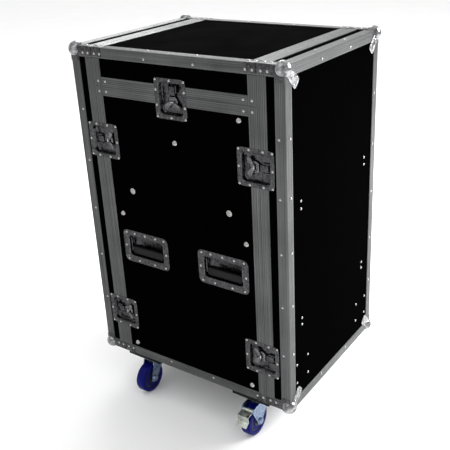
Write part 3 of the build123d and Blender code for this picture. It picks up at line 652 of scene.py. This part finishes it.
def nickel_pattern(material, place):
    """Nickel plate: a small warm glint, dulled in specks where the plate has tarnished."""
    tarnish = add_node(material, "ShaderNodeTexNoise", Vector=place, Scale=1 / tarnish_size, Detail=4.0)
    colour = add_node(material, "ShaderNodeMixRGB", in0=tarnish.outputs["Fac"], in1=linear("#7A7977"),
                      in2=linear("#B2B1AF"))
    rough = add_node(material, "ShaderNodeMapRange", Value=tarnish.outputs["Fac"], To_Min=0.12, To_Max=0.3)
    return {"Base Color": colour.outputs["Color"], "Roughness": rough.outputs["Result"]}


nickel = finish_named("nickel_plated_steel", {"Metallic": 1.0}, nickel_pattern)


def latch_place(side, place):
    """A latch's frame: origin on the seam, x towards the lid, z outwards."""
    outward = Vector((side, 0, 0))
    if place == "top":
        towards, origin = Vector((0, 0, 1)), Vector((side * board_face, 0, top_seam_z))
    else:
        end_name, level = place.split("_")
        towards = Vector((0, ends[end_name], 0))
        level_z = middle(f"latch_rotor_left_front_{level}", 2)
        origin = Vector((side * board_face, ends[end_name] * seam_y, level_z))
    turned = Matrix((towards, outward.cross(towards), outward)).transposed().to_4x4()
    return Matrix.Translation(origin) @ turned


bright_zinc = plated("bright_zinc_plate", "#454547", "#727274", 0.1, 0.26, 0.002, 0.6)
rivet_row = 0.0475
latch_rivets = [(x, y) for x in (-0.0615, 0.0395) for y in (-rivet_row, 0, rivet_row)]
latch_rivets += [(x, y) for x in (-0.030, 0.012) for y in (-rivet_row, rivet_row)]
places = [f"{end_name}_{level}" for end_name in ends for level in ("upper", "lower")] + ["top"]
dishes = []
keepers = {}
latch_frames = []
for (side_name, side), place in product(sides.items(), places):
    spot = latch_place(side, place)
    lid = "top_lid" if place == "top" else place.split("_")[0] + "_lid"
    latch_frames.append((spot, lid))
    dishes.append(copy_at(body_dish, spot))
    keepers.setdefault(lid, []).append(copy_at(lid_dish, spot))
    name = f"{side_name}_{place}"
    present(copy_at(cam, spot), f"latch_cam_{name}", bright_zinc, f"latch_rotor_{name}",
            [f"latch_rotor_{name}"])
    present(copy_at(knuckle, spot), f"latch_knuckle_{name}", nickel, f"latch_wing_{name}",
            [f"latch_wing_{name}"])
    present(copy_at(wing, spot), f"latch_butterfly_{name}", bright_zinc, f"latch_wing_{name}",
            [f"latch_wing_{name}"])
present(join(dishes), "latch_dishes_pressed", zinc, "carcass", ["latch_dishes"])
for lid, halves in keepers.items():
    present(join(halves), f"{lid}_keepers_pressed", zinc, lid, [f"{lid}_keepers"])
discard(body_dish, lid_dish, cam, wing, knuckle)

# Handles: zinc-plated pans with a rubber-covered bail on two flat arms, sprung back into the pan.
handle_half = (0.086, 0.053)
handle_corner = 0.016
handle_rim = 0.019
handle_depth = 0.015
bail_axis = (0.020, -0.008)
grip_middle = -0.015
grip_size = (0.1196, 0.024, 0.0098)
grip_edge = 0.0042
grip_lift = 0.0005
rib_spacing = 0.0085
rib_size = (0.0044, 0.0248, 0.0106)
rib_edge = 0.0018
ribs_each_way = 6
arm_inner, arm_outer, arm_half, arm_head = 0.060, 0.063, 0.004, 0.005
bail_pin_radius, bail_pin_tip = 0.003, 0.0672
rubber_speck = 0.0011
rubber_scuff = 0.033
handle_level = middle("handle_dishes", 2)


def rubber_pattern(material, place):
    """Moulded rubber: a soft black with a mould-textured skin and paler scuffs from use."""
    speck = add_node(material, "ShaderNodeTexNoise", Vector=place, Scale=1 / rubber_speck, Detail=2.0)
    scuff = add_node(material, "ShaderNodeTexNoise", Vector=place, Scale=1 / rubber_scuff, Detail=4.0)
    tone = add_node(material, "ShaderNodeMixRGB", in0=scuff.outputs["Fac"], in1=linear("#040404"),
                    in2=linear("#101010"))
    matt = add_node(material, "ShaderNodeMapRange", Value=scuff.outputs["Fac"], To_Min=0.5, To_Max=0.75)
    bump = add_node(material, "ShaderNodeBump", Height=speck.outputs["Fac"], Strength=0.3, Distance=0.0002)
    return {"Base Color": tone.outputs["Color"], "Roughness": matt.outputs["Result"],
            "Normal": bump.outputs["Normal"]}


rubber = finish_named("black_moulded_rubber", {"Specular IOR Level": 0.2}, rubber_pattern)
handle_pan = pressed_pan(*handle_half, handle_corner, handle_rim, latch_rise, handle_depth)
modify(handle_pan, "SOLIDIFY", thickness=dish_sheet, offset=-1)

# The grip is ribbed across, and a flat arm at each end of it turns on a pin in the pan's wall
grip_centre = Vector((0, grip_middle, bail_axis[1] + grip_lift))
reach = Vector(grip_size) / 2
grip = rounded_block(grip_centre - reach, grip_centre + reach, grip_edge)
grip_ribs = []
for at in range(-ribs_each_way, ribs_each_way + 1):
    centre = grip_centre + Vector((at * rib_spacing, 0, 0))
    reach = Vector(rib_size) / 2
    grip_ribs.append(rounded_block(centre - reach, centre + reach, rib_edge))
grip = join([grip, *grip_ribs])
arms = []
for arm in (-1, 1):
    arms.append(rounded_block((arm * arm_inner, grip_middle - arm_half, bail_axis[1] - arm_half),
                              (arm * arm_outer, bail_axis[0] + arm_head, bail_axis[1] + arm_half), soft))
    pin = turned_disc(bail_pin_radius, arm_inner, bail_pin_tip, sheet_edge, sides_round=16)
    pin.data.transform(Matrix.Translation((0, *bail_axis)) @ Matrix.Rotation(arm * math.pi / 2, 4, "Y"))
    arms.append(pin)
bail_arms = join(arms)
handle_row = 0.0445
handle_rivets = [(x, handle_row) for x in (-0.072, -0.040, 0, 0.040, 0.072)]
handle_rivets += [(x, -handle_row) for x in (-0.072, -0.030, 0.030, 0.072)] + [(-0.0775, 0), (0.0775, 0)]
handle_pans = []
handle_frames = []
for (side_name, side), end_name in product(sides.items(), ends):
    name = f"handle_{side_name}_{end_name}"
    outward = Vector((side, 0, 0))
    along = Vector((0, side, 0))
    turned = Matrix((along, outward.cross(along), outward)).transposed().to_4x4()
    spot = Matrix.Translation((side * board_face, middle(name, 1), handle_level)) @ turned
    handle_frames.append(spot)
    handle_pans.append(copy_at(handle_pan, spot))
    present(copy_at(bail_arms, spot), f"{name}_arms", bright_zinc, name, [name])
    present(copy_at(grip, spot), f"{name}_grip", rubber, name, [name])
present(join(handle_pans), "handle_pans_pressed", zinc, "carcass", ["handle_dishes"])
discard(handle_pan, bail_arms, grip)

# Rack rails and their bolts: steel strip folded to an angle and punched, powder coated black, and
# bolted through the side boards with nickel-plated bolts.
orange_peel_size = 0.0024
orange_peel_depth = 0.0003


def powder_pattern(material, place):
    """Powder coat: a satin black with the slight orange peel that the baked powder leaves."""
    orange_peel = add_node(material, "ShaderNodeTexNoise", Vector=place, Scale=1 / orange_peel_size,
                           Detail=2.0)
    tone = add_node(material, "ShaderNodeMixRGB", in0=orange_peel.outputs["Fac"], in1=linear("#0B0B0B"),
                    in2=linear("#191919"))
    bump = add_node(material, "ShaderNodeBump", Height=orange_peel.outputs["Fac"], Strength=0.2,
                    Distance=orange_peel_depth)
    return {"Base Color": tone.outputs["Color"], "Normal": bump.outputs["Normal"]}


powder = finish_named("black_powder_coat", {"Roughness": 0.5, "Specular IOR Level": 0.3}, powder_pattern)
for rails in ("front_rack_rails", "rear_rack_rails", "mixer_rails", "shelf_rails"):
    paint(rails, powder)
paint("rail_bolts", nickel)

# Rivets: nickel-plated domes, closed from inside against backing plates. They follow the
# extrusions, cross their joints in pairs and hold the braces, corners, latches and handles.
rivet_radius = 0.0039
rivet_rise = 0.0019
edge_rivet_inset = 0.020
edge_rivet_levels = [floor_z + level for level in (0.187, 0.342, 0.502, 0.658, 0.816)]
long_rivet = 0.082
band_rivets = (0.258, 0.232)
band_rivet_drop = 0.0145
brace_rivets = (0.048, 0.067, 0.0915, 0.1115)
brace_rivet_inset = 0.0175
plate_rivets = ((0.1925, 0.631), (0.1925, 0.609), (0.1925, 0.277), (0.1925, 0.256))
plate_rivets += tuple(product((0.224, 0.1605), (0.0755, 0.137)))
leaf_rivets = ((0.066, 0.011), (0.066, -0.011), (0.036, 0))
lid_board_sink = 0.0018

deselect()
bpy.ops.mesh.primitive_uv_sphere_add(segments=12, ring_count=8, radius=rivet_radius)
rivet = bpy.context.object
bpy.ops.object.mode_set(mode="EDIT")
bpy.ops.mesh.select_all(action="SELECT")
bpy.ops.mesh.bisect(plane_co=(0, 0, 0), plane_no=(0, 0, 1), clear_inner=True)
deselect()
rivet.scale = (1, 1, rivet_rise / rivet_radius)
hold(rivet)
bpy.ops.object.transform_apply(location=True, rotation=True, scale=True)
rivets = {}


def set_rivet(body, x, y, z, outward, proud=rib_height):
    """Set one rivet on a face, standing a little proud of it."""
    outward = Vector(outward)
    turned = outward.to_track_quat("Z", "Y").to_matrix().to_4x4()
    place = Matrix.Translation(Vector((x, y, z)) + outward * proud) @ turned
    rivets.setdefault(body, []).append(copy_at(rivet, place))


for side, (end_name, end) in product(sides.values(), ends.items()):
    lid = f"{end_name}_lid"
    face_x = side * half_width
    face_y = end * half_depth
    for level in edge_rivet_levels:
        set_rivet(lid, face_x, end * (half_depth - edge_rivet_inset), level, (side, 0, 0))
        set_rivet(lid, side * (half_width - edge_rivet_inset), face_y, level, (0, end, 0))
    for outer_z, up in ((roof_z, 1), (floor_z, -1)):
        owner = "top_lid" if up > 0 else "carcass"
        set_rivet(owner, face_x, end * long_rivet, outer_z - up * edge_rivet_inset, (side, 0, 0))
        set_rivet(owner, side * (half_width - edge_rivet_inset), end * long_rivet, outer_z, (0, 0, up))
        set_rivet(lid, side * long_rivet, face_y, outer_z - up * edge_rivet_inset, (0, end, 0))
        set_rivet(lid, side * long_rivet, end * (half_depth - edge_rivet_inset), outer_z, (0, 0, up))
    # Joints of the band with the uprights
    for (owner, up), y in product((("top_lid", 1), ("carcass", -1)), band_rivets):
        set_rivet(owner, face_x, end * y, top_seam_z + up * band_rivet_drop, (side, 0, 0))
    for (up, outer_z), inset in product(levels.items(), brace_rivets):
        owner = lid if half_depth - inset > seam_y else "top_lid" if up > 0 else "carcass"
        along = end * (half_depth - inset)
        set_rivet(owner, face_x, along, outer_z - up * brace_rivet_inset, (side, 0, 0), sheet)
        set_rivet(owner, side * (half_width - brace_rivet_inset), along, outer_z, (0, 0, up), sheet)
    # Pairs that hold the backing plates inside the lid's face
    for x, level in plate_rivets:
        set_rivet(lid, side * x, end * (half_depth - lid_board_sink), floor_z + level, (0, end, 0), 0)
    for (up, outer_z), (reach, off) in product(levels.items(), leaf_rivets):
        x = side * (half_width - (reach + off) / math.sqrt(2))
        z = outer_z - up * (reach - off) / math.sqrt(2)
        set_rivet(lid, x, face_y, z, (0, end, 0), sheet)
for spot, lid in latch_frames:
    for x, y in latch_rivets:
        owner = lid if x > 0 else "carcass"
        set_rivet(owner, *(spot @ Vector((x, y, 0))), spot.col[2].xyz, latch_rise)
for spot in handle_frames:
    for x, y in handle_rivets:
        set_rivet("carcass", *(spot @ Vector((x, y, 0))), spot.col[2].xyz, latch_rise)
for body, domes in rivets.items():
    present(join(domes), f"{body}_rivets", nickel, body, angle=60)
discard(rivet)

# Castors: each turns on a zinc-plated top plate bolted through a black-painted ply pad. The fork is
# blue-passivated steel, and the wheel is a blue rubber ring moulded on a black nylon core.
blue_zinc = plated("blue_passivated_zinc", "#5C6B88", "#8FA2BE", 0.16, 0.32, 0.004, 0.3)
pale_zinc = plated("clear_passivated_zinc", "#8C928B", "#B2B8B0", 0.2, 0.36, 0.004, 0.3)
brush_size = 0.0167
brush_depth = 0.0005
bloom_size = 0.022
nylon_speck = 0.0033


def painted_pattern(material, place):
    """Brushed black paint on ply: dead matt, with the brush and the grain showing as slight waves."""
    brushed = add_node(material, "ShaderNodeTexNoise", Vector=place, Scale=1 / brush_size, Detail=5.0)
    tone = add_node(material, "ShaderNodeMixRGB", in0=brushed.outputs["Fac"], in1=linear("#040404"),
                    in2=linear("#0E0E0E"))
    bump = add_node(material, "ShaderNodeBump", Height=brushed.outputs["Fac"], Strength=0.3,
                    Distance=brush_depth)
    return {"Base Color": tone.outputs["Color"], "Normal": bump.outputs["Normal"]}


def tyre_pattern(material, place):
    """Elastic rubber: a deep blue with a soft sheen and the faint bloom of rolled rubber."""
    cloud = add_node(material, "ShaderNodeTexNoise", Vector=place, Scale=1 / bloom_size, Detail=4.0)
    tone = add_node(material, "ShaderNodeMixRGB", in0=cloud.outputs["Fac"], in1=linear("#01022A"),
                    in2=linear("#040A72"))
    matt = add_node(material, "ShaderNodeMapRange", Value=cloud.outputs["Fac"], To_Min=0.3, To_Max=0.5)
    return {"Base Color": tone.outputs["Color"], "Roughness": matt.outputs["Result"]}


def nylon_pattern(material, place):
    """Moulded nylon: an even, slightly greasy black."""
    speck = add_node(material, "ShaderNodeTexNoise", Vector=place, Scale=1 / nylon_speck, Detail=3.0)
    tone = add_node(material, "ShaderNodeMixRGB", in0=speck.outputs["Fac"], in1=linear("#050506"),
                    in2=linear("#131315"))
    return {"Base Color": tone.outputs["Color"]}


pad_paint = finish_named("black_painted_plywood", {"Roughness": 0.7, "Specular IOR Level": 0.15},
                         painted_pattern)
blue_rubber = finish_named("blue_elastic_rubber", {"IOR": 1.5, "Specular IOR Level": 0.08}, tyre_pattern)
nylon = finish_named("black_nylon", {"Roughness": 0.42, "Specular IOR Level": 0.35}, nylon_pattern)


def softened(node, width):
    """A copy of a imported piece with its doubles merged, its facets joined and its edges softened."""
    made = bpy.data.objects.new(node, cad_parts[node].data.copy())
    bpy.context.collection.objects.link(made)
    hold(made)
    bpy.ops.object.mode_set(mode="EDIT")
    bpy.ops.mesh.select_all(action="SELECT")
    bpy.ops.mesh.remove_doubles(threshold=0.00001)
    bpy.ops.mesh.dissolve_limited(angle_limit=math.radians(2))
    deselect()
    return modify(made, "BEVEL", width=width, segments=2, angle_limit=math.radians(50))


present(softened("caster_pads", 0.001), "caster_pads_painted", pad_paint, "carcass",
        ["caster_pads"])
present(softened("caster_top_plates", 0.0004), "caster_plates_zinc", pale_zinc, "carcass",
        ["caster_top_plates"])

# The tyre is recessed inside its rim, and the core has a web sunk between its own rim and its boss
wheel_radius, tyre_half, tyre_edge = 0.050, 0.016, 0.004
core_radius, core_half = 0.0356, 0.0145
hub_radius, hub_half = 0.0095, 0.0183
tyre_steps = ((0.0095, 0), (0.0008, -0.0022))
core_steps = ((0.0035, 0), (0.0012, -0.0032), (0.0095, 0), (0.0015, 0.0045))
tyre = turned_disc(wheel_radius, -tyre_half, tyre_half, tyre_edge, sides_round=72)
core = turned_disc(core_radius, -core_half, core_half, soft, sides_round=72)
for ring, steps in ((tyre, tyre_steps), (core, core_steps)):
    pick(ring, "FACE", lambda centre, normal: abs(normal.z) > 0.99)
    for width, step in steps:
        bpy.ops.mesh.inset(thickness=width, depth=step)
    deselect()
hub = turned_disc(hub_radius, -hub_half, hub_half, cam_slope, sides_round=32)
lie_down = Matrix.Rotation(math.pi / 2, 4, "X")
for side_name, end_name in product(sides, ends):
    key = f"{side_name}_{end_name}"
    fork = f"caster_fork_{key}"
    wheel = f"caster_wheel_{key}"
    present(softened(fork, 0.0006), f"{fork}_formed", blue_zinc, fork, [fork])
    axle = Vector([middle(wheel, axis) for axis in range(3)])
    spot = Matrix.Translation(axle) @ lie_down
    present(copy_at(tyre, spot), f"{wheel}_tyre", blue_rubber, wheel, [wheel])
    present(copy_at(core, spot), f"{wheel}_core", nylon, wheel, [wheel])
    present(copy_at(hub, spot), f"{wheel}_hub", bright_zinc, wheel, [wheel])
discard(tyre, core, hub)
for side_name in sides:
    pedal = f"brake_pedal_{side_name}"
    present(softened(pedal, 0.0008), f"{pedal}_formed", pale_zinc, pedal, [pedal])

# Studio: a pale paper floor, large soft boxes and a camera that stands off the front left edge.
floor_size = 60
mottle_size = 0.33
deselect()
bpy.ops.mesh.primitive_plane_add(size=floor_size, location=(0, 0, 0))
floor = bpy.context.object
floor.name = "studio_floor"


def floor_pattern(material, place):
    """Background paper: a matt near-white with a barely visible mottle."""
    mottle = add_node(material, "ShaderNodeTexNoise", Vector=place, Scale=1 / mottle_size)
    tone = add_node(material, "ShaderNodeMixRGB", in0=mottle.outputs["Fac"], in1=linear("#F0F0F0"),
                    in2=linear("#F6F6F6"))
    return {"Base Color": tone.outputs["Color"]}


floor.data.materials.append(finish_named("pale_studio_paper", {"Roughness": 0.95, "Specular IOR Level": 0.1},
                                         floor_pattern))

world = bpy.data.worlds.new("studio")
bpy.context.scene.world = world
world.use_nodes = True
world.node_tree.nodes["Background"].inputs["Color"].default_value = linear("#FFFFFF")
world.node_tree.nodes["Background"].inputs["Strength"].default_value = 1.0


def softbox(name, place, aim, size, watts):
    """A large square light that faces a point."""
    light = bpy.data.lights.new(name, "AREA")
    light.shape = "SQUARE"
    light.size = size
    light.energy = watts
    lamp = bpy.data.objects.new(name, light)
    bpy.context.collection.objects.link(lamp)
    lamp.location = place
    lamp.rotation_euler = (Vector(aim) - Vector(place)).to_track_quat("-Z", "Y").to_euler()


softbox("key_box", (2.6, -2.8, 2.8), (0.6, -0.8, 0.2), 2.2, 430)
softbox("top_box", (2.6, 2.0, 3.4), (0, 0, 0.9), 1.8, 45)
softbox("overhead_box", (0.5, 0.5, 5.5), (0.5, 0.5, 0), 7.0, 80)
softbox("side_box", (-3.4, 0.6, 3.4), (-1.5, 0.5, 0), 2.4, 12)

camera_place = Vector((-1.7104, -1.2098, 1.5116))
camera_azimuth, camera_elevation, camera_roll = (math.radians(turn) for turn in (-55.195, 23.077, -2.612))
camera_data = bpy.data.cameras.new("camera")
camera_data.lens = 57.89
camera_data.sensor_width = 36
camera_data.shift_x = -0.0317
camera_data.shift_y = -0.042
camera = bpy.data.objects.new("camera", camera_data)
bpy.context.collection.objects.link(camera)
aim = Matrix.Rotation(camera_azimuth, 4, "Z") @ Matrix.Rotation(math.pi / 2 - camera_elevation, 4, "X")
camera.matrix_world = Matrix.Translation(camera_place) @ aim @ Matrix.Rotation(camera_roll, 4, "Z")
bpy.context.scene.camera = camera
bpy.context.scene.view_settings.view_transform = "Standard"
